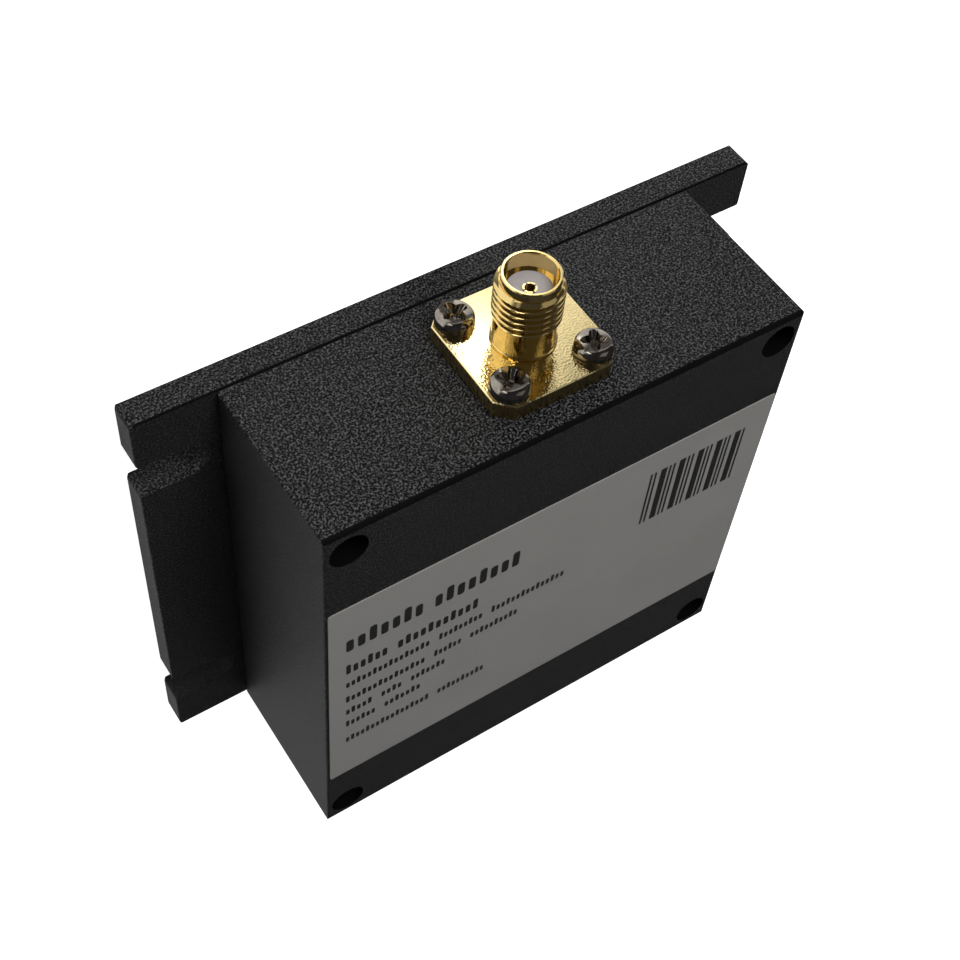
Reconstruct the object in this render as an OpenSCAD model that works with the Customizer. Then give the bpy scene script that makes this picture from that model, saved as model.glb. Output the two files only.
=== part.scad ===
// Two-way radio power splitter. A milled housing is closed at the back by a slotted mounting
// plate. One coaxial input jack stands on the +Y end and two output jacks on the -Y end.
// Inside, a board carries the splitting network: a chain of ring sections whose two arms are
// bridged by isolation resistors.
// Millimetres. The origin is the centre of the mounting face and +Z points out of the label face.

/* [Mounting plate] */
// Width of the plate across its ears
plate_w = 66; // [60:0.5:90]
// Thickness of the plate
plate_t = 3; // [2:0.1:6]
// Radius of the plate's upright corners
plate_corner_r = 0.6; // [0.2:0.1:2]
// Width of the open mounting slots
slot_w = 4.1; // [3.2:0.1:6]
// Distance between slot centres along Y
slot_pitch = 36.5; // [20:0.5:42]
// Land between the round end of a slot and the housing
slot_land = 1; // [0.4:0.1:3]
// Radius of the two corners at a slot's mouth
slot_mouth_r = 0.4; // [0.1:0.1:1]

/* [Housing] */
// Width of the housing
body_w = 50; // [44:0.5:56]
// Length of the housing and the plate along Y
body_h = 52; // [46:0.5:70]
// Depth of the housing from the plate to the label face
body_d = 18; // [15:0.5:26]
// Thickness of the side walls
side_wall = 2.5; // [1.5:0.1:4]
// Thickness of the end walls that carry the jacks
end_wall = 5; // [4:0.1:7]
// Thickness of the wall behind the label
front_wall = 2; // [1:0.1:4]
// Radius in the corners of the milled cavity
cavity_r = 4; // [2:0.1:6]
// Radius of the edges between the label face and the two ends
end_edge_r = 0.5; // [0.2:0.1:1.5]
// Radius of the other outer edges of the housing
side_edge_r = 0.2; // [0.1:0.1:1]
// Edge break along the seam between housing and plate
seam_break = 0.2; // [0.05:0.05:0.5]

/* [Housing screws] */
// Distance of the corner holes from the side faces
corner_inset_x = 2.4; // [2.2:0.1:4]
// Distance of the corner holes from the end faces
corner_inset_y = 2.8; // [2.2:0.1:4]
// Metal between a housing screw's head and the plate
corner_floor = 4; // [2:0.1:8]
// Room around a sunk screw head
head_gap = 0.05; // [0.05:0.05:0.3]

/* [Pan head screws] */
// Diameter of the screw thread
screw_d = 2; // [1.6:0.1:2.2]
// Diameter of the screw head
head_d = 3.6; // [3:0.1:3.8]
// Height of the screw head
head_h = 1.5; // [0.8:0.1:2]
// Radius of the edge around the top of the head
head_edge_r = 0.7; // [0.2:0.1:0.7]
// Width of the cross recess
recess_w = 0.6; // [0.3:0.05:0.8]
// Length of the cross recess
recess_l = 2.2; // [1:0.1:2.6]
// Depth of the cross recess
recess_depth = 0.9; // [0.3:0.1:1]
// Radial room of a screw in its tapped hole
thread_gap = 0.03; // [0.02:0.01:0.1]
// Radial room of a screw in a clearance hole
pass_gap = 0.2; // [0.1:0.05:0.3]
// Metal left under the end of a blind tapped hole
blind_skin = 0.8; // [0.5:0.1:1.5]
// Room between the tip of a screw and the end of its hole
tip_gap = 0.3; // [0.1:0.1:0.8]

/* [Coaxial jacks] */
// Side of the square flange
flange_w = 12.7; // [12:0.1:14]
// Thickness of the flange
flange_t = 1.8; // [1:0.1:3]
// Chamfer on the corners of the flange
flange_chamfer = 1.5; // [0.2:0.1:2]
// Distance between the flange screws
flange_screw_pitch = 8.64; // [8.2:0.02:8.9]
// Height of the rim above the housing
jack_h = 9.7; // [8:0.1:14]
// Outer diameter of the coupling thread
thread_d = 6.2; // [6.1:0.05:6.8]
// Length of the coupling thread
thread_l = 4; // [2:0.1:5]
// Chamfer at both ends of the coupling thread
thread_chamfer = 0.2; // [0.05:0.05:0.3]
// Diameter of the smooth barrel under the thread
barrel_d = 5.7; // [5:0.05:5.7]
// Chamfer at the foot of the barrel
foot_chamfer = 0.18; // [0.05:0.01:0.3]
// Diameter of the collar above the thread
collar_d = 5.3; // [5.1:0.05:5.7]
// Length of the collar
collar_l = 0.9; // [0.3:0.1:1.5]
// Chamfer around the rim
rim_chamfer = 0.06; // [0.02:0.01:0.2]
// Diameter of the socket that takes the plug
socket_d = 4.6; // [4.3:0.05:4.8]
// Depth of the socket
socket_depth = 1.9; // [1:0.1:3]
// Diameter of the insulator
insulator_d = 4.1; // [3.6:0.05:4.25]
// Radial room around the insulator in the end wall
insulator_gap = 0.1; // [0.05:0.05:0.3]
// Distance between the two output jacks
output_pitch = 25; // [18:0.5:27]

/* [Contacts] */
// Outer diameter of the contact
contact_d = 1.27; // [1.1:0.01:1.5]
// Diameter of the hole in the contact
contact_bore_d = 0.94; // [0.7:0.01:1]
// Depth of the hole in the contact
contact_bore_depth = 2.6; // [1.5:0.1:4]
// Height of the contact above the insulator
contact_proud = 0.1; // [0:0.05:0.3]
// Width of the spring slits in the contact
slit_w = 0.18; // [0.1:0.01:0.3]
// Depth of the spring slits
slit_depth = 2.2; // [1:0.1:3]
// Length of the contact's tail on the board
tail_l = 3; // [2:0.1:4]
// Height of the tail's flat above the contact's axis
tail_flat = 0.35; // [0.1:0.05:0.5]
// Radial room between pieces that are pressed together
press_gap = 0.01; // [0.01:0.01:0.05]

/* [Board and network] */
// Thickness of the board
board_t = 0.8; // [0.5:0.1:1.6]
// Room between the board and the cavity walls
board_gap = 0.3; // [0.1:0.1:1]
// Distance of the board screws from the board's edges
board_screw_inset = 4.5; // [3.5:0.1:5.2]
// Diameter of the posts that carry the board
post_d = 5; // [4:0.1:6]
// Length of a board screw inside its post
post_bite = 3.2; // [2:0.1:4]
// Thickness of the copper track
track_t = 0.04; // [0.03:0.01:0.1]
// Width of the input and output lines
line_w = 1.8; // [1:0.1:2.4]
// Number of ring sections
sections = 3; // [1:1:4]
// Width of the arms in the first section
arm_w = 0.6; // [0.3:0.1:1]
// Growth of the arms' width from one section to the next
arm_growth = 0.3; // [0:0.05:0.4]
// Gap between the two arms where a resistor bridges them
arm_gap = 1; // [0.6:0.1:1.4]
// Length of the input line
feed_l = 3.4; // [2.5:0.1:6]
// Distance from the last resistor to the board's edge
output_run = 4.6; // [4:0.1:8]
// Length of a resistor
resistor_l = 2; // [1.8:0.1:2.4]
// Width of a resistor
resistor_w = 1.25; // [0.8:0.05:1.6]
// Thickness of a resistor
resistor_t = 0.5; // [0.3:0.05:0.8]
// Margin of the copper pads around a resistor's ends
pad_margin = 0.2; // [0.1:0.05:0.4]

/* [Label] */
// Length of the label along Y
label_h = 31.1; // [15:0.1:38]
// Thickness of the label
label_t = 0.1; // [0.05:0.01:0.3]
// Margin between the label and the housing's sides
label_margin = 0.3; // [0.2:0.1:4]
// Shift of the label's centre along Y
label_shift = -0.9; // [-2:0.1:2]
// Radius of the label's corners
label_r = 0.3; // [0.1:0.1:3]

/* [Hidden] */
$fn = 64;
// How far a cut runs past the surface that it opens
over = 1;

front_z = plate_t + body_d;
jack_z = plate_t + body_d / 2;
ceiling_z = front_z - front_wall;
cavity_w = body_w - 2 * side_wall;
cavity_h = body_h - 2 * end_wall;

slot_depth = (plate_w - body_w) / 2 - slot_land;

corner_x = body_w / 2 - corner_inset_x;
corner_y = body_h / 2 - corner_inset_y;
corner_screw_l = corner_floor + plate_t - tip_gap;
flange_bite = end_wall - blind_skin - tip_gap;
flange_screw_l = flange_t + flange_bite;

thread_top = jack_h - collar_l;
thread_bottom = thread_top - thread_l;
socket_floor = jack_h - socket_depth;

track_z = jack_z + tail_flat;
board_z = track_z + track_t;
board_w = cavity_w - 2 * board_gap;
board_h = cavity_h - 2 * board_gap;
post_x = board_w / 2 - board_screw_inset;
post_y = board_h / 2 - board_screw_inset;
post_z = board_z + board_t;
board_screw_l = board_t + post_bite;

ring_r = (board_h - feed_l - output_run) / (2 * sections);
pad_w = (resistor_l - arm_gap) / 2 + pad_margin;
pad_l = resistor_w + 2 * pad_margin;
bend_r = line_w;

// Name, place along X and end of the housing of each jack
JACKS = [["input", 0, 1], ["output_left", -output_pitch / 2, -1], ["output_right", output_pitch / 2, -1]];
JACK_PIECES = ["jack", "insulator", "contact", "jack_screws"];

// Place of the i-th junction along Y, counted from the input
function node_y(i) = board_h / 2 - feed_l - 2 * ring_r * i;

// Outline with four round corners
module rounded_rect(w, h, r) {
    square([w - 2 * r, h], center = true);
    square([w, h - 2 * r], center = true);
    for (x = [-1, 1], y = [-1, 1])
        translate([x * (w / 2 - r), y * (h / 2 - r)]) circle(r);
}

// Section of a block, with its far edges rounded and its near edges broken
module block_section(w, d, far_r, near_break) {
    half = w / 2;
    polygon([
        [-half + near_break, 0], [half - near_break, 0], [half, near_break],
        [half, d - far_r], [-half, d - far_r], [-half, near_break]
    ]);
    translate([-half + far_r, d - 2 * far_r]) square([w - 2 * far_r, 2 * far_r]);
    for (side = [-1, 1])
        translate([side * (half - far_r), d - far_r]) circle(far_r);
}

// Block on z = 0: upright corners, side edges and end edges each have their own radius
module dressed_block(w, h, d, corner_r, side_r, end_r, near_break) {
    intersection() {
        linear_extrude(d) rounded_rect(w, h, corner_r);
        rotate([90, 0, 0])
            linear_extrude(h + 2 * over, center = true) block_section(w, d, side_r, near_break);
        rotate([90, 0, 90])
            linear_extrude(w + 2 * over, center = true) block_section(h, d, end_r, near_break);
    }
}

// Children at the four corners of a rectangle
module at_corners(x, y) {
    for (i = [-1, 1], j = [-1, 1])
        translate([i * x, j * y, 0]) children();
}

// Frame of a jack: the wall's face is z = 0, z runs outwards and y towards the label face
module at_jack(jack) {
    translate([jack[1], jack[2] * body_h / 2, jack_z])
        rotate([0, 0, jack[2] > 0 ? 180 : 0])
            rotate([90, 0, 0]) children();
}

// Pan head screw with a cross recess, its head resting on z = 0
module pan_screw(l) {
    edge_x = head_d / 2 - head_edge_r;
    edge_z = head_h - head_edge_r;
    translate([0, 0, -l]) cylinder(d = screw_d, h = l);
    difference() {
        rotate_extrude() {
            square([head_d / 2, edge_z]);
            square([edge_x, head_h]);
            translate([edge_x, edge_z]) circle(head_edge_r);
        }
        for (turn = [0, 90])
            rotate(turn) translate([-recess_l / 2, -recess_w / 2, head_h - recess_depth])
                cube([recess_l, recess_w, recess_depth + over]);
    }
}

// Open slot seen from its mouth at x = 0, running along +X
module slot_outline() {
    end = slot_depth - slot_w / 2;
    translate([-over, -slot_w / 2]) square([end + over, slot_w]);
    translate([end, 0]) circle(d = slot_w);
    for (side = [0, 1]) mirror([0, side]) difference() {
        translate([-over, 0]) square([slot_mouth_r + over, slot_w / 2 + slot_mouth_r]);
        translate([slot_mouth_r, slot_w / 2 + slot_mouth_r]) circle(slot_mouth_r);
    }
}

module base_plate() {
    color("#2a2a2b") difference() {
        dressed_block(plate_w, body_h, plate_t, plate_corner_r, seam_break, seam_break, seam_break);
        for (side = [-1, 1], row = [-1, 1])
            translate([side * plate_w / 2, row * slot_pitch / 2, -over])
                rotate(side > 0 ? 180 : 0)
                    linear_extrude(plate_t + 2 * over) slot_outline();
        at_corners(corner_x, corner_y)
            translate([0, 0, -over]) cylinder(r = screw_d / 2 + thread_gap, h = plate_t + 2 * over);
    }
}

// Hole for a housing screw: a deep seat for the head over a clearance hole
module corner_hole() {
    cylinder(r = screw_d / 2 + pass_gap, h = front_z);
    translate([0, 0, plate_t + corner_floor])
        cylinder(r = head_d / 2 + head_gap, h = body_d);
}

// Cuts that an end wall needs for one jack
module jack_cuts() {
    translate([0, 0, -end_wall - over])
        cylinder(r = insulator_d / 2 + insulator_gap, h = end_wall + 2 * over);
    at_corners(flange_screw_pitch / 2, flange_screw_pitch / 2)
        translate([0, 0, -end_wall + blind_skin])
            cylinder(r = screw_d / 2 + thread_gap, h = end_wall);
}

module cavity() {
    translate([0, 0, plate_t - over])
        linear_extrude(body_d - front_wall + over) rounded_rect(cavity_w, cavity_h, cavity_r);
}

module board_post() {
    translate([0, 0, post_z]) cylinder(d = post_d, h = ceiling_z - post_z + front_wall / 2);
}

module housing() {
    color("#2a2a2b") difference() {
        union() {
            difference() {
                translate([0, 0, plate_t])
                    dressed_block(body_w, body_h, body_d, side_edge_r, side_edge_r, end_edge_r, seam_break);
                cavity();
            }
            at_corners(post_x, post_y) board_post();
        }
        at_corners(corner_x, corner_y) corner_hole();
        for (jack = JACKS) at_jack(jack) jack_cuts();
        at_corners(post_x, post_y) translate([0, 0, post_z - over])
            cylinder(r = screw_d / 2 + thread_gap, h = post_bite + tip_gap + over);
    }
}

module housing_screws() {
    color("#8d8f92") at_corners(corner_x, corner_y)
        translate([0, 0, plate_t + corner_floor]) pan_screw(corner_screw_l);
}

module label() {
    color("#b9b8b4") translate([0, label_shift, front_z])
        linear_extrude(label_t) rounded_rect(body_w - 2 * label_margin, label_h, label_r);
}

module circuit_board() {
    color("#e9e4d2") translate([0, 0, board_z]) difference() {
        linear_extrude(board_t) rounded_rect(board_w, board_h, cavity_r);
        at_corners(post_x, post_y) translate([0, 0, -over])
            cylinder(r = screw_d / 2 + pass_gap, h = board_t + 2 * over);
    }
}

// The two arms of one ring section, joined at the top of the first section only
module ring_arms(i) {
    w = arm_w + arm_growth * i;
    translate([0, node_y(i) - ring_r]) difference() {
        circle(ring_r + w / 2);
        circle(ring_r - w / 2);
        for (end = i == 0 ? [-1] : [-1, 1])
            translate([0, end * ring_r]) square([arm_gap, 2 * w], center = true);
    }
}

// Line from the last resistor out to a jack, with one round bend
module output_line() {
    x = output_pitch / 2;
    y = node_y(sections);
    translate([arm_gap / 2, y - line_w / 2]) square([x - bend_r - arm_gap / 2, line_w]);
    translate([x - bend_r, y - bend_r]) intersection() {
        difference() {
            circle(bend_r + line_w / 2);
            circle(bend_r - line_w / 2);
        }
        square(bend_r + line_w);
    }
    translate([x - line_w / 2, -board_h / 2]) square([line_w, y - bend_r + board_h / 2]);
}

module splitter_outline() {
    translate([-line_w / 2, node_y(0) - line_w / 2]) square([line_w, feed_l + line_w / 2]);
    for (i = [0 : sections - 1]) {
        ring_arms(i);
        for (side = [-1, 1])
            translate([side * (arm_gap + pad_w) / 2, node_y(i + 1)]) square([pad_w, pad_l], center = true);
    }
    for (side = [0, 1]) mirror([side, 0]) output_line();
}

module splitter_track() {
    color("#c98a4b") translate([0, 0, track_z]) linear_extrude(track_t) splitter_outline();
}

module isolation_resistor(i) {
    color("#3a3f45") translate([-resistor_l / 2, node_y(i) - resistor_w / 2, track_z - resistor_t])
        cube([resistor_l, resistor_w, resistor_t]);
}

module board_screws() {
    color("#8d8f92") at_corners(post_x, post_y)
        translate([0, 0, board_z]) mirror([0, 0, 1]) pan_screw(board_screw_l);
}

// Square flange and turned barrel in one piece, with a stepped bore
module jack_body() {
    chamfered = flange_w - 2 * flange_chamfer;
    half = flange_w / 2;
    inner = chamfered / 2;
    foot_r = barrel_d / 2 - foot_chamfer;
    color("#c9a227") difference() {
        union() {
            linear_extrude(flange_t) polygon([
                [half, -inner], [half, inner], [inner, half], [-inner, half],
                [-half, inner], [-half, -inner], [-inner, -half], [inner, -half]
            ]);
            rotate_extrude() polygon([
                [0, flange_t / 2], [foot_r, flange_t / 2], [foot_r, flange_t],
                [barrel_d / 2, flange_t + foot_chamfer], [barrel_d / 2, thread_bottom],
                [thread_d / 2 - thread_chamfer, thread_bottom], [thread_d / 2, thread_bottom + thread_chamfer],
                [thread_d / 2, thread_top - thread_chamfer], [thread_d / 2 - thread_chamfer, thread_top],
                [collar_d / 2, thread_top], [collar_d / 2, jack_h - rim_chamfer],
                [collar_d / 2 - rim_chamfer, jack_h], [0, jack_h]
            ]);
        }
        translate([0, 0, -over]) cylinder(d = insulator_d, h = socket_floor + 2 * over);
        translate([0, 0, socket_floor]) cylinder(d = socket_d, h = socket_depth + over);
        at_corners(flange_screw_pitch / 2, flange_screw_pitch / 2) translate([0, 0, -over])
            cylinder(r = screw_d / 2 + pass_gap, h = flange_t + 2 * over);
    }
}

module jack_insulator() {
    color("#f1eef0") difference() {
        translate([0, 0, -end_wall]) cylinder(r = insulator_d / 2 - press_gap, h = socket_floor + end_wall);
        translate([0, 0, -end_wall - over]) cylinder(r = contact_d / 2 + press_gap, h = jack_h + end_wall + over);
    }
}

// Slit socket at the front, round stem, and a tail with a flat that lies on the board's track
module jack_contact() {
    tip = socket_floor + contact_proud;
    color("#d8b24a") difference() {
        translate([0, 0, -end_wall - tail_l]) cylinder(d = contact_d, h = tail_l + end_wall + tip);
        translate([0, 0, tip - contact_bore_depth]) cylinder(d = contact_bore_d, h = contact_bore_depth + over);
        for (turn = [0, 90])
            rotate(turn) translate([-contact_d, -slit_w / 2, tip - slit_depth])
                cube([2 * contact_d, slit_w, slit_depth + over]);
        translate([-contact_d, tail_flat, -end_wall - tail_l - over])
            cube([2 * contact_d, contact_d, tail_l + over]);
    }
}

module jack_screws() {
    color("#8d8f92") at_corners(flange_screw_pitch / 2, flange_screw_pitch / 2)
        translate([0, 0, flange_t]) pan_screw(flange_screw_l);
}

base_plate();
housing();
housing_screws();
label();
circuit_board();
splitter_track();
board_screws();
for (i = [1 : sections]) {
    isolation_resistor(i);
}
for (jack = JACKS) {
    at_jack(jack) jack_body();
    at_jack(jack) jack_insulator();
    at_jack(jack) jack_contact();
    at_jack(jack) jack_screws();
}
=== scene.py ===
"""Looks of a two-way radio power splitter: black coat on the plate and housing, gold jacks with
real threads, cross recess screws and a printed label, on a white floor.

Sizes are in millimetres."""

import math

import bmesh
import bpy
from mathutils import Matrix, Vector


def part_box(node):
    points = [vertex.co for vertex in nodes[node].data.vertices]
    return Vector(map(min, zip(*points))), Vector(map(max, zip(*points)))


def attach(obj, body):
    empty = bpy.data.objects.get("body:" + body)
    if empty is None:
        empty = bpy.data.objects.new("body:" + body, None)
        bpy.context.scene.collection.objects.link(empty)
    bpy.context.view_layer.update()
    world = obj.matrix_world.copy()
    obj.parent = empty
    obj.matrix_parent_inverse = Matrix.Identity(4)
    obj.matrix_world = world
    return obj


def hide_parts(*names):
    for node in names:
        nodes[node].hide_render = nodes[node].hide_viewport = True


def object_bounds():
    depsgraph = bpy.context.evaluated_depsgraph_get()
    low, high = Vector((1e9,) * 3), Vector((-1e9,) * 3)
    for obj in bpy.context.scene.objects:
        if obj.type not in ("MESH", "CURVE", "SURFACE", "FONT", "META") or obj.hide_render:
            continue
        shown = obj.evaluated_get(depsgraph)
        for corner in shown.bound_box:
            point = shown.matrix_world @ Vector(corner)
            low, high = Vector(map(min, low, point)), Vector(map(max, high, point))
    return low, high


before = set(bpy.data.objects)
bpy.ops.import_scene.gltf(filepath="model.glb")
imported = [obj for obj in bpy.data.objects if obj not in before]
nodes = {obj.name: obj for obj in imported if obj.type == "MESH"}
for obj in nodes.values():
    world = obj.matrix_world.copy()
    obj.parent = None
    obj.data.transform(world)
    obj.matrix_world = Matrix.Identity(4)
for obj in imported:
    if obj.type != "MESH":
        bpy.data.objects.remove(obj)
cad_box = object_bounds()

MM = 0.001
BODY = "root"
JACKS = ("input", "output_left", "output_right")

# Camera, fitted to the photograph
CAMERA_AT = (-59.09, 131.03, 82.75)
CAMERA_TO = (1.56, -0.95, 6.38)
CAMERA_ROLL = 142.01
CAMERA_LENS = 59.89
CAMERA_SENSOR = 36
CAMERA_NEAR = 5
CAMERA_FAR = 20000

# Jack, measured along its axis from the housing's wall
FLANGE_T = 1.8
FLANGE_CHAMFER = 1.5
FLANGE_EDGE = 0.1
FLANGE_SCREW_PITCH = 8.64
FLANGE_CORNERS = [
    (x * FLANGE_SCREW_PITCH / 2, y * FLANGE_SCREW_PITCH / 2) for x in (-1, 1) for y in (-1, 1)
]
FLANGE_HOLE_R = 1.2
BARREL_R = 2.85
FOOT_CHAMFER = 0.18
FOOT_BEAD_W = 0.12
FOOT_BEAD_H = 0.045
THREAD_BOTTOM = 4.8
THREAD_TOP = 8.8
THREAD_R = 3.1
THREAD_PITCH = 25.4 / 36
THREAD_DEPTH = 0.42
THREAD_BEVEL = 0.4
# Distances from the middle of a crest, in turns, where its flank starts and where the root does
THREAD_FLANK = 1 / 14
THREAD_ROOT = 0.4
COLLAR_R = 2.65
RIM_H = 9.7
RIM_EDGE = 0.1
SOCKET_R = 2.3
SOCKET_EDGE = 0.08
SOCKET_FLOOR = 7.8
INSULATOR_R = 2.05
TURN_STEPS = 160
THREAD_STEPS = 18
HOLE_STEPS = 32

# Pan head screw, its head resting on zero
HEAD_R = 1.8
HEAD_H = 1.5
HEAD_EDGE_R = 0.7
HEAD_DOME_DEG = 18
HEAD_EDGE = 0.06
SHANK_R = 1.0
SHANK_TIP = 0.25
RECESS_DEPTH = 0.95
RECESS_TOP = (1.4, 0.44)
RECESS_BOTTOM = (0.6, 0.24)
RECESS_FLARE = (0.7, 0.3)
RECESS_EDGE = 0.08
RECESS_EDGE_DEG = 40
RECESS_EDGE_STEPS = 2
SCREW_STEPS = 64
SHOULDER_STEPS = 10
DOME_STEPS = 9
WING_STEPS = 8
FLARE_STEPS = 32
# Turn of each of four screws about its own axis
SCREW_TURNS = (24, 61, 8, 40)
# Edges sharper than this stay sharp in the shading
SHARP_DEG = 38

# Label print: plain bars in place of words, and a block of stripes
INK_T = 0.008
LINE_LEFT = -22.9
WORD_GAP = 0.9
# Foot of each line, height of its bars, and lengths of its words
LINES = (
    (7.3, 2.4, (8.4, 9.6)),
    (3.3, 1.6, (4.6, 9.0)),
    (0.8, 1.1, (9.2, 5.0, 8.6)),
    (-2.0, 1.1, (8.8, 3.2, 5.6)),
    (-4.4, 1.1, (3.0, 2.4, 4.0)),
    (-6.8, 1.1, (3.4, 4.2)),
    (-10.0, 1.1, (9.6, 5.6)),
)
# Pitch of a word's bars in heights, share of it that is ink, and height of the low bars
TICK_PITCH = 0.52
TICK_FILL = 0.64
TICK_LOW = 0.78
TICK_ROUND = 0.12
STRIPES_LEFT = 10.3
STRIPES_RIGHT = 22.4
STRIPES_FOOT = 3.0
STRIPES_HEAD = 11.2
STRIPE_UNIT = 0.25
STRIPE_ROUND = 0.02
BAR_CORNER_STEPS = 4

# Coat: sizes of its two grains, share of the fine one, and height of the relief
COAT_GRAIN = 0.2
COAT_FINE = 0.12
COAT_FINE_SHARE = 0.6
COAT_RELIEF = 0.14
# The coat turns from smooth to pebbly, its speckle part grain and part painted sheen, between these
# shares of the holes' distance along Y
PEBBLES_START = -0.25
PEBBLES_FULL = 0.65
# The painted shade of a sunk hole ends between these distances from its screw head
HOLE_DARK = 0.06
HOLE_BRIGHT = 0.1

# Gold: sizes of the tool marks, the stains and the sandy grain, and height of the relief
GOLD_MARKS = 0.16
GOLD_STAINS = 1.4
GOLD_SAND = 0.2
GOLD_RELIEF = 0.02

# Stage
FLOOR_SIZE = 3000
FLOOR_DROP = 0.02
GLOW = 1.0
GLOW_IN_METAL = 0.6
# Painted shade that only reflections see: they lose this share of the floor's white between these
# distances along this way
FADE_SHARE = 0.85
FADE_ALONG = (0.6, 0.8, 0)
FADE_START = 41
FADE_END = 64
# Reflections also see this strip of painted shade on the floor in front of the input end
STRIP_SHARE = 0.85
STRIP_X = -2.4
STRIP_HALF = 2.8
STRIP_SOFT = 0.8
# The world turns from pale to dim between these heights of a ray's direction
HORIZON_LOW = 0.03
HORIZON_HIGH = 0.1
# Each lamp's name, place, width, height and watts, whether it makes highlights, and whether it
# lights more than those
LAMP_AIM = (0, 0, 10)
LAMPS = (
    ("key", (30, 380, 220), 200, 200, 1.6, False, True),
    ("fill", (330, 410, 710), 600, 600, 0.3, True, True),
    ("rear", (300, -650, 120), 300, 300, 2.5, False, True),
    ("card", (-590, 790, 160), 360, 360, 0.16, True, True),
    ("glint", (-420, 890, 120), 100, 400, 0.5, True, False),
)
# Lamp that brightens the floor which the flange mirrors
SPOT_AT = (106, 265, 77)
SPOT_TO = (6.2, 48.0, 0)
SPOT_SPREAD = 2.2
SPOT_BLEND = 0.2
SPOT_SIZE = 2
SPOT_POWER = 26.0


# Shader helpers


def new_material(name, color, roughness, metallic=0.0):
    """A material with a Principled shader; returns it with its node tree and shader."""
    material = bpy.data.materials.new(name)
    material.use_nodes = True
    tree = material.node_tree
    shader = tree.nodes["Principled BSDF"]
    shader.inputs["Base Color"].default_value = (*color, 1)
    shader.inputs["Roughness"].default_value = roughness
    shader.inputs["Metallic"].default_value = metallic
    return material, tree, shader


def node(tree, kind, inputs=None, **settings):
    """A shader node with settings, and with inputs that are values or other nodes' sockets."""
    made = tree.nodes.new(kind)
    for key, value in settings.items():
        setattr(made, key, value)
    for key, value in (inputs or {}).items():
        if isinstance(value, bpy.types.NodeSocket):
            tree.links.new(value, made.inputs[key])
        else:
            made.inputs[key].default_value = value
    return made


def math_node(tree, operation, *values):
    """Output of a math node over numbers and sockets."""
    return node(tree, "ShaderNodeMath", dict(enumerate(values)), operation=operation).outputs[0]


def noise(tree, grain_mm, detail=2.0, stretch=(1, 1, 1), roughness=0.5):
    """Noise in an object's own frame whose features are about grain_mm across."""
    inputs = {"Vector": own_place(tree), "Scale": stretch}
    scaled = node(tree, "ShaderNodeMapping", inputs).outputs[0]
    return node(
        tree,
        "ShaderNodeTexNoise",
        {"Vector": scaled, "Scale": 1 / (grain_mm * MM), "Detail": detail, "Roughness": roughness},
    ).outputs["Fac"]


def remap(tree, value, low, high, to_low, to_high):
    """value from low..high to to_low..to_high, clamped."""
    return node(
        tree,
        "ShaderNodeMapRange",
        {"Value": value, "From Min": low, "From Max": high, "To Min": to_low, "To Max": to_high},
    ).outputs[0]


def blend(tree, share, first, second):
    """Colour that goes from first to second with share."""
    mix = node(tree, "ShaderNodeMix", data_type="RGBA")
    for key, value in (("A", first), ("B", second)):
        socket = next(s for s in mix.inputs if s.name == key and s.type == "RGBA")
        if isinstance(value, bpy.types.NodeSocket):
            tree.links.new(value, socket)
        else:
            socket.default_value = (*value, 1)
    tree.links.new(share, mix.inputs["Factor"])
    return next(s for s in mix.outputs if s.type == "RGBA")


def bump(tree, shader, height, distance_mm, strength):
    """Surface relief on a shader; strength is a number or a socket."""
    inputs = {"Height": height, "Strength": strength, "Distance": distance_mm * MM}
    made = node(tree, "ShaderNodeBump", inputs)
    tree.links.new(made.outputs[0], shader.inputs["Normal"])


def parts(tree, vector):
    """The x, y and z sockets of a vector socket."""
    return node(tree, "ShaderNodeSeparateXYZ", {"Vector": vector}).outputs


def own_place(tree):
    """Place of a point in the frame of its own object."""
    return node(tree, "ShaderNodeTexCoord").outputs["Object"]


def stain(tree, shader, pattern, low, high, first, second):
    """Colours a shader from first to second as a pattern goes from low to high."""
    share = remap(tree, pattern, low, high, 0, 1)
    tree.links.new(blend(tree, share, first, second), shader.inputs["Base Color"])


def wear(tree, shader, pattern, low, high):
    """Takes a shader's roughness from low to high with a pattern."""
    tree.links.new(remap(tree, pattern, 0.3, 0.7, low, high), shader.inputs["Roughness"])


# Materials


def hole_shade_mask(tree, x, y, hole_x, hole_y):
    """Painted shade: 1 in the sunk holes at hole_x and hole_y in all four corners, and 0 around
    them.
    """
    across = math_node(tree, "SUBTRACT", math_node(tree, "ABSOLUTE", x), hole_x)
    along = math_node(tree, "SUBTRACT", math_node(tree, "ABSOLUTE", y), hole_y)
    square = math_node(tree, "MULTIPLY_ADD", across, across, math_node(tree, "POWER", along, 2.0))
    reach = math_node(tree, "SQRT", square)
    return remap(tree, reach, (HEAD_R + HOLE_DARK) * MM, (HEAD_R + HOLE_BRIGHT) * MM, 1, 0)


def coat_masks(tree, hole_x, hole_y):
    """Shares of the coat that are pebbly, with part painted sheen, and that are smooth and painted
    dark (a painted dark reflection on the rounded edges, painted shade in the sunk holes).
    """
    x, y, _ = parts(tree, own_place(tree))
    _, normal_y, normal_z = parts(tree, node(tree, "ShaderNodeNewGeometry").outputs["Normal"])
    outwards = math_node(tree, "MULTIPLY", y, normal_y)
    # Faces looking outwards along Y get the most speckle: part grain, part painted sheen
    pebbles_and_sheen = remap(tree, outwards, PEBBLES_START * hole_y, PEBBLES_FULL * hole_y, 0.1, 1)
    # Painted dark reflection on the rounded edges between the Y and Z faces
    slope = math_node(tree, "MULTIPLY", normal_y, normal_z)
    edge = remap(tree, math_node(tree, "ABSOLUTE", slope), 0.08, 0.3, 0, 1)
    # Painted shade in the sunk holes
    hole = hole_shade_mask(tree, x, y, hole_x, hole_y)
    return pebbles_and_sheen, math_node(tree, "MAXIMUM", edge, hole)


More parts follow.
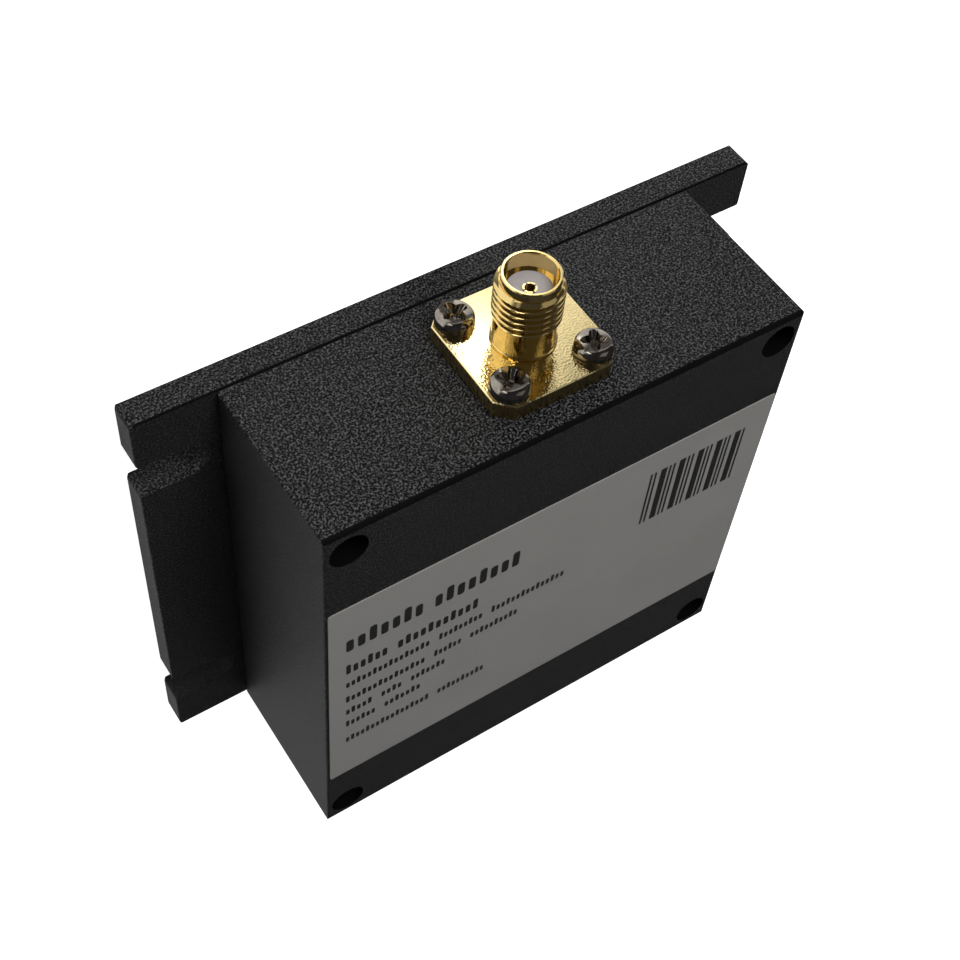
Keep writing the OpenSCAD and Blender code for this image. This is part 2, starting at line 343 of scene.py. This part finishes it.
def powder_coat(hole_x, hole_y):
    """Black coat, pebbly on the faces that look outwards along Y, with speckle there that is part
    grain and part painted sheen, and nearly smooth on the others. Its rounded end edges are smooth
    with a painted dark reflection, and its sunk holes have painted shade."""
    material, tree, shader = new_material("powder_coat", (0.02, 0.02, 0.021), 0.45)
    shader.inputs["Specular IOR Level"].default_value = 0.08
    pebbles_and_sheen, shade_and_smooth = coat_masks(tree, hole_x, hole_y)
    fine = noise(tree, COAT_FINE, detail=0)
    grain = noise(tree, COAT_GRAIN, detail=0)
    relief = math_node(tree, "MULTIPLY_ADD", fine, COAT_FINE_SHARE, grain)
    peaks = remap(tree, relief, 0.74, 1.13, 0, 1)
    speckle_and_sheen = blend(tree, peaks, (0.002, 0.002, 0.002), (0.105, 0.105, 0.105))
    # Speckle: part grain, and part painted sheen on the faces that look outwards along Y
    color = blend(tree, pebbles_and_sheen, (0.017, 0.017, 0.0172), speckle_and_sheen)
    # Near black: painted dark reflection on the rounded edges and painted shade in the sunk holes
    color = blend(tree, shade_and_smooth, color, (0.003, 0.003, 0.003))
    tree.links.new(color, shader.inputs["Base Color"])
    slant = node(tree, "ShaderNodeLayerWeight", {"Blend": 0.5}).outputs["Facing"]
    gloss = remap(tree, slant, 0.25, 0.6, 0.32, 0.45)
    gloss = math_node(tree, "MULTIPLY_ADD", fine, 0.12, gloss)
    tree.links.new(gloss, shader.inputs["Roughness"])
    uneven = math_node(tree, "MAXIMUM", pebbles_and_sheen, 0.6)
    rough = math_node(tree, "MULTIPLY", uneven, remap(tree, shade_and_smooth, 0, 1, 1.0, 0.05))
    bump(tree, shader, relief, COAT_RELIEF, rough)
    return material


def gold(name, color, roughness, stretch, sand=0.0):
    """Bright gold plating with the fine marks that its tool left, drawn out along stretch, over a
    sandy surface that is rough by the share sand."""
    material, tree, shader = new_material(name, color, roughness, metallic=1)
    marks = noise(tree, GOLD_MARKS, detail=2, stretch=stretch)
    stains = noise(tree, GOLD_STAINS, detail=2)
    worn = math_node(tree, "MULTIPLY_ADD", marks, 0.8, math_node(tree, "MULTIPLY", stains, 0.4))
    dull = [0.86 * c for c in color]
    bright = [min(1, 1.06 * c) for c in color]
    stain(tree, shader, worn, 0.42, 0.78, dull, bright)
    wear(tree, shader, marks, roughness * 0.7, roughness * 1.4)
    grooves = math_node(tree, "MULTIPLY", marks, 0.1)
    relief = math_node(tree, "MULTIPLY_ADD", noise(tree, GOLD_SAND, detail=0), sand, grooves)
    bump(tree, shader, relief, GOLD_RELIEF, 1.0)
    return material


def insulator_white():
    """Milky fluoropolymer with faint turning marks."""
    material, tree, shader = new_material("insulator_white", (0.34, 0.32, 0.325), 0.42)
    shader.inputs["Subsurface Weight"].default_value = 0.15
    shader.inputs["Subsurface Radius"].default_value = (0.0006, 0.0005, 0.0005)
    mottle = noise(tree, 0.5, detail=3)
    stain(tree, shader, mottle, 0.3, 0.7, (0.32, 0.3, 0.31), (0.36, 0.335, 0.335))
    bump(tree, shader, noise(tree, 0.1), 0.01, 0.15)
    return material


def screw_nickel():
    """Dark bright nickel with small stains."""
    material, tree, shader = new_material("screw_nickel", (0.3, 0.275, 0.24), 0.1, metallic=1)
    spots = noise(tree, 0.6, detail=4)
    stain(tree, shader, spots, 0.35, 0.65, (0.23, 0.208, 0.178), (0.38, 0.345, 0.295))
    wear(tree, shader, spots, 0.06, 0.15)
    bump(tree, shader, noise(tree, 0.15), 0.01, 0.15)
    return material


def label_film():
    """Matt grey film with a faint tooth."""
    material, tree, shader = new_material("label_film", (0.3, 0.294, 0.28), 0.5)
    tooth = noise(tree, 0.15, detail=3)
    cloud = noise(tree, 9, detail=2)
    stain(tree, shader, cloud, 0.3, 0.7, (0.29, 0.284, 0.27), (0.31, 0.304, 0.29))
    wear(tree, shader, tooth, 0.42, 0.56)
    bump(tree, shader, tooth, 0.01, 0.2)
    return material


def label_ink():
    """Dark print, a little uneven."""
    material, tree, shader = new_material("label_ink", (0.014, 0.014, 0.014), 0.5)
    dry = noise(tree, 0.3, detail=3)
    stain(tree, shader, dry, 0.35, 0.7, (0.012, 0.012, 0.012), (0.022, 0.022, 0.021))
    wear(tree, shader, dry, 0.42, 0.6)
    return material


def laminate():
    """Pale board with a woven cloth under its surface."""
    material, tree, shader = new_material("laminate", (0.62, 0.58, 0.44), 0.5)
    inputs = {"Vector": own_place(tree), "Scale": 1 / (0.4 * MM)}
    weave = node(tree, "ShaderNodeTexChecker", inputs).outputs["Fac"]
    stain(tree, shader, weave, 0, 1, (0.6, 0.56, 0.42), (0.65, 0.61, 0.47))
    wear(tree, shader, noise(tree, 0.3), 0.42, 0.58)
    return material


def copper():
    """Bright copper with a light tarnish."""
    material, tree, shader = new_material("copper", (0.78, 0.42, 0.25), 0.3, metallic=1)
    tarnish = noise(tree, 1.5, detail=4)
    stain(tree, shader, tarnish, 0.35, 0.7, (0.82, 0.46, 0.28), (0.55, 0.27, 0.16))
    wear(tree, shader, tarnish, 0.22, 0.42)
    return material


def chip_ceramic():
    """Dark glazed resistor body."""
    material, tree, shader = new_material("chip_ceramic", (0.03, 0.033, 0.038), 0.4)
    cloud = noise(tree, 0.4, detail=3)
    stain(tree, shader, cloud, 0.3, 0.7, (0.025, 0.028, 0.032), (0.04, 0.043, 0.048))
    wear(tree, shader, cloud, 0.32, 0.5)
    return material


def floor_shade(tree):
    """Share of the floor's white that reflections lose: painted shade that only reflections see."""
    place = own_place(tree)
    inputs = {0: place, 1: FADE_ALONG}
    reach = node(tree, "ShaderNodeVectorMath", inputs, operation="DOT_PRODUCT").outputs["Value"]
    far = remap(tree, reach, FADE_START * MM, FADE_END * MM, 0, FADE_SHARE)
    x, y, _ = parts(tree, place)
    aside = math_node(tree, "ABSOLUTE", math_node(tree, "SUBTRACT", x, STRIP_X * MM))
    edge = STRIP_HALF + STRIP_SOFT
    strip = remap(tree, aside, STRIP_HALF * MM, edge * MM, STRIP_SHARE, 0)
    strip = math_node(tree, "MULTIPLY", strip, math_node(tree, "GREATER_THAN", y, 0))
    return math_node(tree, "MAXIMUM", far, strip)


def floor_white():
    """Pale floor that keeps the shadow. It looks white to the camera, and metal shows it too, with
    the painted shade of floor_shade."""
    material, tree, shader = new_material("floor_white", (0.8, 0.8, 0.8), 0.9)
    shader.inputs["Specular IOR Level"].default_value = 0
    shader.inputs["Emission Color"].default_value = (1, 1, 1, 1)
    path = node(tree, "ShaderNodeLightPath").outputs
    seen = math_node(tree, "MAXIMUM", path["Is Camera Ray"], path["Is Glossy Ray"])
    seen = math_node(tree, "MAXIMUM", seen, path["Is Transmission Ray"])
    # Painted shade on the floor that only glossy rays see
    dim = math_node(tree, "MULTIPLY", floor_shade(tree), path["Is Glossy Ray"])
    tree.links.new(blend(tree, dim, (0.8, 0.8, 0.8), (0, 0, 0)), shader.inputs["Base Color"])
    level = remap(tree, path["Is Glossy Ray"], 0, 1, GLOW, GLOW_IN_METAL)
    glow = math_node(tree, "MULTIPLY", level, math_node(tree, "SUBTRACT", 1.0, dim))
    tree.links.new(math_node(tree, "MULTIPLY", seen, glow), shader.inputs["Emission Strength"])
    return material


# Mesh helpers


def ring(bm, radius, height, steps):
    """Closed row of points about Z; radius is a number or a function of the angle."""
    row = []
    for i in range(steps):
        a = 2 * math.pi * i / steps
        r = radius(a) if callable(radius) else radius
        row.append(bm.verts.new((r * math.cos(a), r * math.sin(a), height)))
    return row


def skin(bm, rows, material=0):
    """Quads between rows of equal length, each row closed on itself."""
    for low, high in zip(rows, rows[1:]):
        count = len(low)
        for i in range(count):
            j = (i + 1) % count
            bm.faces.new((low[i], low[j], high[j], high[i])).material_index = material


def edges_of(bm, *loops):
    """Edges around closed loops of points, made where they are missing."""
    edges = []
    for loop in loops:
        for a, b in zip(loop, loop[1:] + loop[:1]):
            edges.append(bm.edges.get((a, b)) or bm.edges.new((a, b)))
    return edges


def finished(bm, name):
    """Mesh from bm, in metres, smooth apart from its sharp edges."""
    bmesh.ops.recalc_face_normals(bm, faces=bm.faces)
    bmesh.ops.scale(bm, vec=(MM, MM, MM), verts=bm.verts)
    mesh = bpy.data.meshes.new(name)
    bm.to_mesh(mesh)
    bm.free()
    mesh.shade_smooth()
    mesh.set_sharp_from_angle(angle=math.radians(SHARP_DEG))
    return mesh


def capped(bm, rows):
    """Skin over rows with a face on both ends."""
    skin(bm, rows)
    bm.faces.new(rows[0][::-1])
    bm.faces.new(rows[-1])


def show(name, mesh, slot, *materials, matrix=Matrix.Identity(4)):
    """Adds a piece that rides on the part, with the given materials; slot is not used."""
    for material in materials:
        mesh.materials.append(material)
    piece = bpy.data.objects.new(name, mesh)
    bpy.context.scene.collection.objects.link(piece)
    piece.matrix_world = matrix
    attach(piece, BODY)
    return piece


# Jacks


def jack_frame(name):
    """Frame of a jack at the housing's wall: z runs outwards and y towards the label face."""
    low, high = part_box(name + "_jack")
    centre = (low + high) / 2
    out = 1 if centre.y > 0 else -1
    wall = low.y if out > 0 else high.y
    turn = Matrix(((-out, 0, 0), (0, 0, out), (0, 1, 0))).to_4x4()
    return Matrix.Translation((centre.x, wall, centre.z)) @ turn


def octagon(bm, half, inset, height):
    """Corner points of the flange, moved inwards by inset."""
    a = half - inset
    b = half - FLANGE_CHAMFER - inset * (math.sqrt(2) - 1)
    corners = ((a, -b), (a, b), (b, a), (-b, a), (-a, b), (-a, -b), (-b, -a), (b, -a))
    return [bm.verts.new((x, y, height)) for x, y in corners]


def thread_radius(height):
    """Radius of the coupling thread at a height, as a function of the angle."""
    top = THREAD_R - THREAD_BEVEL + (THREAD_TOP - height)
    bottom = BARREL_R + (height - THREAD_BOTTOM)
    limit = min(THREAD_R, top, bottom)

    def radius(angle):
        turns = height / THREAD_PITCH - angle / (2 * math.pi)
        off = abs(turns - round(turns))
        share = min(1, max(0, (off - THREAD_FLANK) / (THREAD_ROOT - THREAD_FLANK)))
        cut = share * share * (3 - 2 * share)
        return min(limit, THREAD_R - THREAD_DEPTH * cut)

    return radius


def barrel_rows(bm):
    """Rows of the turned skin: up the barrel's foot and thread, over the rim and down the bore."""
    bead = FLANGE_T + FOOT_CHAMFER
    foot = (
        (BARREL_R - FOOT_CHAMFER, FLANGE_T),
        (BARREL_R + FOOT_BEAD_W, bead),
        (BARREL_R, bead + FOOT_BEAD_H),
    )
    length = THREAD_TOP - THREAD_BOTTOM
    count = round(length / THREAD_PITCH * THREAD_STEPS)
    heights = [THREAD_BOTTOM + length * i / count for i in range(count + 1)]
    thread = [(thread_radius(h), h) for h in heights]
    bore = (
        (COLLAR_R, THREAD_TOP),
        (COLLAR_R, RIM_H - RIM_EDGE),
        (COLLAR_R - RIM_EDGE, RIM_H),
        (SOCKET_R + SOCKET_EDGE, RIM_H),
        (SOCKET_R, RIM_H - SOCKET_EDGE),
        (SOCKET_R, SOCKET_FLOOR),
        (INSULATOR_R, SOCKET_FLOOR),
        (INSULATOR_R, 0),
    )
    return [ring(bm, r, h, TURN_STEPS) for r, h in (*foot, *thread, *bore)]


def flange_rows(bm, half):
    """Rows of points around the flange from its back to its face, with broken edges."""
    levels = (
        (FLANGE_EDGE, 0),
        (0, FLANGE_EDGE),
        (0, FLANGE_T - FLANGE_EDGE),
        (FLANGE_EDGE, FLANGE_T),
    )
    return [octagon(bm, half, inset, h) for inset, h in levels]


def flange_holes(bm):
    """Skins of the four screw holes; returns the two loops of each."""
    holes = []
    for x, y in FLANGE_CORNERS:
        hole = [ring(bm, FLANGE_HOLE_R, h, HOLE_STEPS) for h in (0, FLANGE_T)]
        bmesh.ops.translate(bm, vec=(x, y, 0), verts=hole[0] + hole[1])
        skin(bm, hole)
        holes.append(hole)
    return holes


def jack_mesh(flange_w):
    """Flange and threaded barrel in one closed skin, with a stepped bore. The flange's face takes
    the first material, the turned skin the second and the flange's sides the third."""
    bm = bmesh.new()
    barrel = barrel_rows(bm)
    skin(bm, barrel, material=1)
    sides = flange_rows(bm, flange_w / 2)
    skin(bm, sides[:3], material=2)
    skin(bm, sides[2:])
    holes = flange_holes(bm)
    back = [sides[0], barrel[-1], *(hole[0] for hole in holes)]
    face = [sides[-1], barrel[0], *(hole[1] for hole in holes)]
    for loops in (back, face):
        bmesh.ops.triangle_fill(bm, use_beauty=True, edges=edges_of(bm, *loops))
    return finished(bm, "jack")


# Screws


def recess_wing(bm, turn):
    """One tapered blade of the cross recess, round at both ends."""
    rotation = Matrix.Rotation(turn, 3, "Z")
    floor, top = HEAD_H - RECESS_DEPTH, HEAD_H + HEAD_EDGE
    rows = []
    for (length, width), height in ((RECESS_BOTTOM, floor), (RECESS_TOP, top)):
        points = []
        for end in (1, -1):
            for i in range(WING_STEPS + 1):
                a = math.pi * (i / WING_STEPS - 0.5)
                x = length - width + width * math.cos(a)
                points.append((end * x, end * width * math.sin(a)))
        rows.append([bm.verts.new(rotation @ Vector((x, y, height))) for x, y in points])
    capped(bm, rows)


def recess_flare(bm):
    """Round middle of the cross recess."""
    wide, narrow = RECESS_FLARE
    rows = [
        ring(bm, narrow, HEAD_H - RECESS_DEPTH - HEAD_EDGE, FLARE_STEPS),
        ring(bm, wide, HEAD_H + HEAD_EDGE, FLARE_STEPS),
    ]
    capped(bm, rows)


def cutter(shape, *values):
    """Object that cuts one part of the cross recess."""
    bm = bmesh.new()
    shape(bm, *values)
    return bpy.data.objects.new("screw_cutter", finished(bm, "screw_cutter"))


def head_profile():
    """Points of a head's round shoulder and flat dome, from its side to near its middle."""
    tilt = math.radians(HEAD_DOME_DEG)
    edge_x = HEAD_R - HEAD_EDGE_R
    dome_r = (edge_x + HEAD_EDGE_R * math.sin(tilt)) / math.sin(tilt)
    edge_z = HEAD_H - dome_r * (1 - math.cos(tilt)) - HEAD_EDGE_R * math.cos(tilt)
    points = []
    for i in range(SHOULDER_STEPS + 1):
        a = (math.pi / 2 - tilt) * i / SHOULDER_STEPS
        points.append((edge_x + HEAD_EDGE_R * math.cos(a), edge_z + HEAD_EDGE_R * math.sin(a)))
    for i in range(1, DOME_STEPS):
        a = tilt * (1 - i / DOME_STEPS)
        points.append((dome_r * math.sin(a), HEAD_H - dome_r * (1 - math.cos(a))))
    return points


def plain_screw(shank_l):
    """Turned blank of a pan head screw."""
    bm = bmesh.new()
    profile = [
        (SHANK_R - SHANK_TIP, -shank_l),
        (SHANK_R, -shank_l + SHANK_TIP),
        (SHANK_R, 0),
        (HEAD_R - HEAD_EDGE, 0),
        (HEAD_R, HEAD_EDGE),
        *head_profile(),
    ]
    capped(bm, [ring(bm, r, h, SCREW_STEPS) for r, h in profile])
    return finished(bm, "screw_blank")


def screw_mesh(shank_l):
    """Pan head screw with a tapered cross recess, its edges a little rounded."""
    blank = bpy.data.objects.new("screw_blank", plain_screw(shank_l))
    cutters = [cutter(recess_wing, 0), cutter(recess_wing, math.pi / 2), cutter(recess_flare)]
    for piece in (blank, *cutters):
        bpy.context.scene.collection.objects.link(piece)
    for piece in cutters:
        cut = blank.modifiers.new("cut", "BOOLEAN")
        cut.object, cut.operation, cut.solver = piece, "DIFFERENCE", "EXACT"
    soften = blank.modifiers.new("soften", "BEVEL")
    soften.width, soften.segments = RECESS_EDGE * MM, RECESS_EDGE_STEPS
    soften.limit_method, soften.angle_limit = "ANGLE", math.radians(RECESS_EDGE_DEG)
    depsgraph = bpy.context.evaluated_depsgraph_get()
    done = bpy.data.meshes.new_from_object(blank.evaluated_get(depsgraph))
    for piece in (blank, *cutters):
        bpy.data.objects.remove(piece)
    done.shade_smooth()
    done.set_sharp_from_angle(angle=math.radians(SHARP_DEG))
    return done


def screw_set(name, mesh, places, material):
    """Four copies of a screw in one piece that replaces the node of that name."""
    bm = bmesh.new()
    for place in places:
        before = len(bm.verts)
        bm.from_mesh(mesh)
        bm.verts.ensure_lookup_table()
        bmesh.ops.transform(bm, matrix=place, verts=bm.verts[before:])
    joined = bpy.data.meshes.new(name)
    bm.to_mesh(joined)
    bm.free()
    piece = show(name + "_set", joined, "screw_steel", material)
    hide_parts(name)


def spun(x, y, z, degrees):
    """Place of a screw, turned about its own axis."""
    turn = Matrix.Rotation(math.radians(degrees), 4, "Z")
    return Matrix.Translation((x * MM, y * MM, z * MM)) @ turn


# Label print


def bar(bm, x0, x1, y0, y1, radius):
    """Flat printed bar with round corners."""
    corners = ((x1 - radius, y1 - radius, 0), (x0 + radius, y1 - radius, 1))
    corners += ((x0 + radius, y0 + radius, 2), (x1 - radius, y0 + radius, 3))
    points = []
    for x, y, quarter in corners:
        for i in range(BAR_CORNER_STEPS + 1):
            a = math.pi / 2 * (quarter + i / BAR_CORNER_STEPS)
            points.append((x + radius * math.cos(a), y + radius * math.sin(a)))
    capped(bm, [[bm.verts.new((x, y, z)) for x, y in points] for z in (0, INK_T)])


def word(bm, x, foot, height, length):
    """A word's place on the label: a row of plain upright bars."""
    count = max(2, round(length / (TICK_PITCH * height)))
    step = length / count
    for i in range(count):
        tall = height * (1 if (i * 7 + count) % 3 == 0 else TICK_LOW)
        end = x + (i + TICK_FILL) * step
        bar(bm, x + i * step, end, foot, foot + tall, TICK_ROUND * height)


def label_print(ink):
    """Rows of bars for words, and stripes of varied width."""
    bm = bmesh.new()
    for foot, height, words in LINES:
        x = LINE_LEFT
        for length in words:
            word(bm, x, foot, height, length)
            x += length + WORD_GAP
    x, i = STRIPES_LEFT, 0
    while x < STRIPES_RIGHT - 2 * STRIPE_UNIT:
        width = STRIPE_UNIT * (1 + (i * i + 2 * i) % 3)
        gap = STRIPE_UNIT * (1 + (i * 5 + i // 3) % 2)
        end = min(x + width, STRIPES_RIGHT)
        bar(bm, x, end, STRIPES_FOOT, STRIPES_HEAD, STRIPE_ROUND)
        x += width + gap
        i += 1
    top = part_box("label")[1].z
    mesh = finished(bm, "label_print")
    show("label_print", mesh, "label", ink, matrix=Matrix.Translation((0, 0, top)))


# Stage


def add_floor():
    """Wide floor just under the part."""
    half = FLOOR_SIZE / 2 * MM
    corners = [(-half, -half, 0), (half, -half, 0), (half, half, 0), (-half, half, 0)]
    mesh = bpy.data.meshes.new("floor")
    mesh.from_pydata(corners, [], [(0, 1, 2, 3)])
    mesh.materials.append(floor_white())
    floor = bpy.data.objects.new("floor", mesh)
    floor.location.z = cad_box[0].z - FLOOR_DROP * MM
    bpy.context.scene.collection.objects.link(floor)


def place_lamp(name, lamp, place, aim):
    """Adds a lamp that looks from place to aim, both in millimetres."""
    piece = bpy.data.objects.new(name, lamp)
    piece.location = Vector(place) * MM
    piece.rotation_euler = (Vector(aim) - Vector(place)).to_track_quat("-Z", "Y").to_euler()
    bpy.context.scene.collection.objects.link(piece)
    return piece


def add_lamp(name, place, wide, high, power, glare, light):
    """Soft lamp aimed at the part. Without glare it makes no highlights, and without light it makes
    only highlights."""
    lamp = bpy.data.lights.new(name, "AREA")
    lamp.shape, lamp.energy = "RECTANGLE", power
    lamp.size, lamp.size_y = wide * MM, high * MM
    piece = place_lamp(name, lamp, place, LAMP_AIM)
    piece.visible_glossy, piece.visible_diffuse = glare, light


def add_floor_spot():
    """Narrow lamp that lights a patch of the floor."""
    lamp = bpy.data.lights.new("floor_spot", "SPOT")
    lamp.energy, lamp.shadow_soft_size = SPOT_POWER, SPOT_SIZE * MM
    lamp.spot_size, lamp.spot_blend = math.radians(SPOT_SPREAD), SPOT_BLEND
    place_lamp("floor_spot", lamp, SPOT_AT, SPOT_TO).visible_glossy = False


def add_world():
    """Pale at the horizon and dim overhead."""
    world = bpy.data.worlds.new("studio")
    world.use_nodes = True
    bpy.context.scene.world = world
    tree = world.node_tree
    way = node(tree, "ShaderNodeTexCoord").outputs["Generated"]
    _, _, height = parts(tree, way)
    above = remap(tree, height, HORIZON_LOW, HORIZON_HIGH, 0, 1)
    color = blend(tree, above, (0.8, 0.8, 0.8), (0.05, 0.05, 0.052))
    tree.links.new(color, tree.nodes["Background"].inputs["Color"])


def add_camera():
    """The photograph's camera."""
    data = bpy.data.cameras.new("camera")
    data.lens, data.sensor_width = CAMERA_LENS, CAMERA_SENSOR
    data.clip_start, data.clip_end = CAMERA_NEAR * MM, CAMERA_FAR * MM
    camera = bpy.data.objects.new("camera", data)
    at, to = Vector(CAMERA_AT) * MM, Vector(CAMERA_TO) * MM
    look = (to - at).to_track_quat("-Z", "Y").to_matrix()
    roll = Matrix.Rotation(math.radians(CAMERA_ROLL), 3, "Z")
    camera.matrix_world = Matrix.Translation(at) @ (look @ roll).to_4x4()
    bpy.context.scene.collection.objects.link(camera)
    bpy.context.scene.camera = camera


# Build

low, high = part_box("housing_screws")
corner_x, corner_y = high.x / MM - HEAD_R, high.y / MM - HEAD_R
coat = powder_coat(corner_x * MM, corner_y * MM)
nickel = screw_nickel()
turned_gold = gold("gold_turned", (0.86, 0.645, 0.265), 0.07, (1, 1, 8))
pin_gold = gold("gold_pin", (0.92, 0.7, 0.3), 0.12, (1, 8, 1))
brushed_gold = gold("gold_brushed", (0.95, 0.77, 0.39), 0.05, (2, 0.12, 1), sand=0.8)
# Darker copy of the gold for the flange's sides: painted shade
milled_gold_shaded = gold("gold_milled_shaded", (0.52, 0.39, 0.17), 0.3, (1.5, 1.5, 0.1))
white = insulator_white()
chip = chip_ceramic()

dress = {
    "base_plate": coat,
    "housing": coat,
    "label": label_film(),
    "circuit_board": laminate(),
    "splitter_track": copper(),
    "board_screws": nickel,
}
dress.update({name: chip for name in nodes if name.startswith("isolation_resistor")})
for jack in JACKS:
    dress[jack + "_insulator"] = white
    dress[jack + "_contact"] = pin_gold
for name, material in dress.items():
    nodes[name].data.materials.clear()
    nodes[name].data.materials.append(material)

low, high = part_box("input_jack")
turned = jack_mesh((high.x - low.x) / MM)
for material in (brushed_gold, turned_gold, milled_gold_shaded):
    turned.materials.append(material)
for jack in JACKS:
    piece = show(jack + "_jack_turned", turned, "gold", matrix=jack_frame(jack))
    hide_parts(jack + "_jack")

low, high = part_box("input_jack_screws")
jack_screw = screw_mesh((high.y - low.y) / MM - HEAD_H)
seats = [spun(x, y, FLANGE_T, turn) for (x, y), turn in zip(FLANGE_CORNERS, SCREW_TURNS)]
for jack in JACKS:
    places = [jack_frame(jack) @ seat for seat in seats]
    screw_set(jack + "_jack_screws", jack_screw, places, nickel)

low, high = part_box("housing_screws")
housing_screw = screw_mesh((high.z - low.z) / MM - HEAD_H)
seat_z = high.z / MM - HEAD_H
corners = [(x, y) for x in (-corner_x, corner_x) for y in (-corner_y, corner_y)]
places = [spun(x, y, seat_z, turn) for (x, y), turn in zip(corners, SCREW_TURNS)]
screw_set("housing_screws", housing_screw, places, nickel)

label_print(label_ink())

add_floor()
for lamp in LAMPS:
    add_lamp(*lamp)
add_floor_spot()
add_world()
add_camera()

bpy.context.scene.view_settings.view_transform = "Standard"
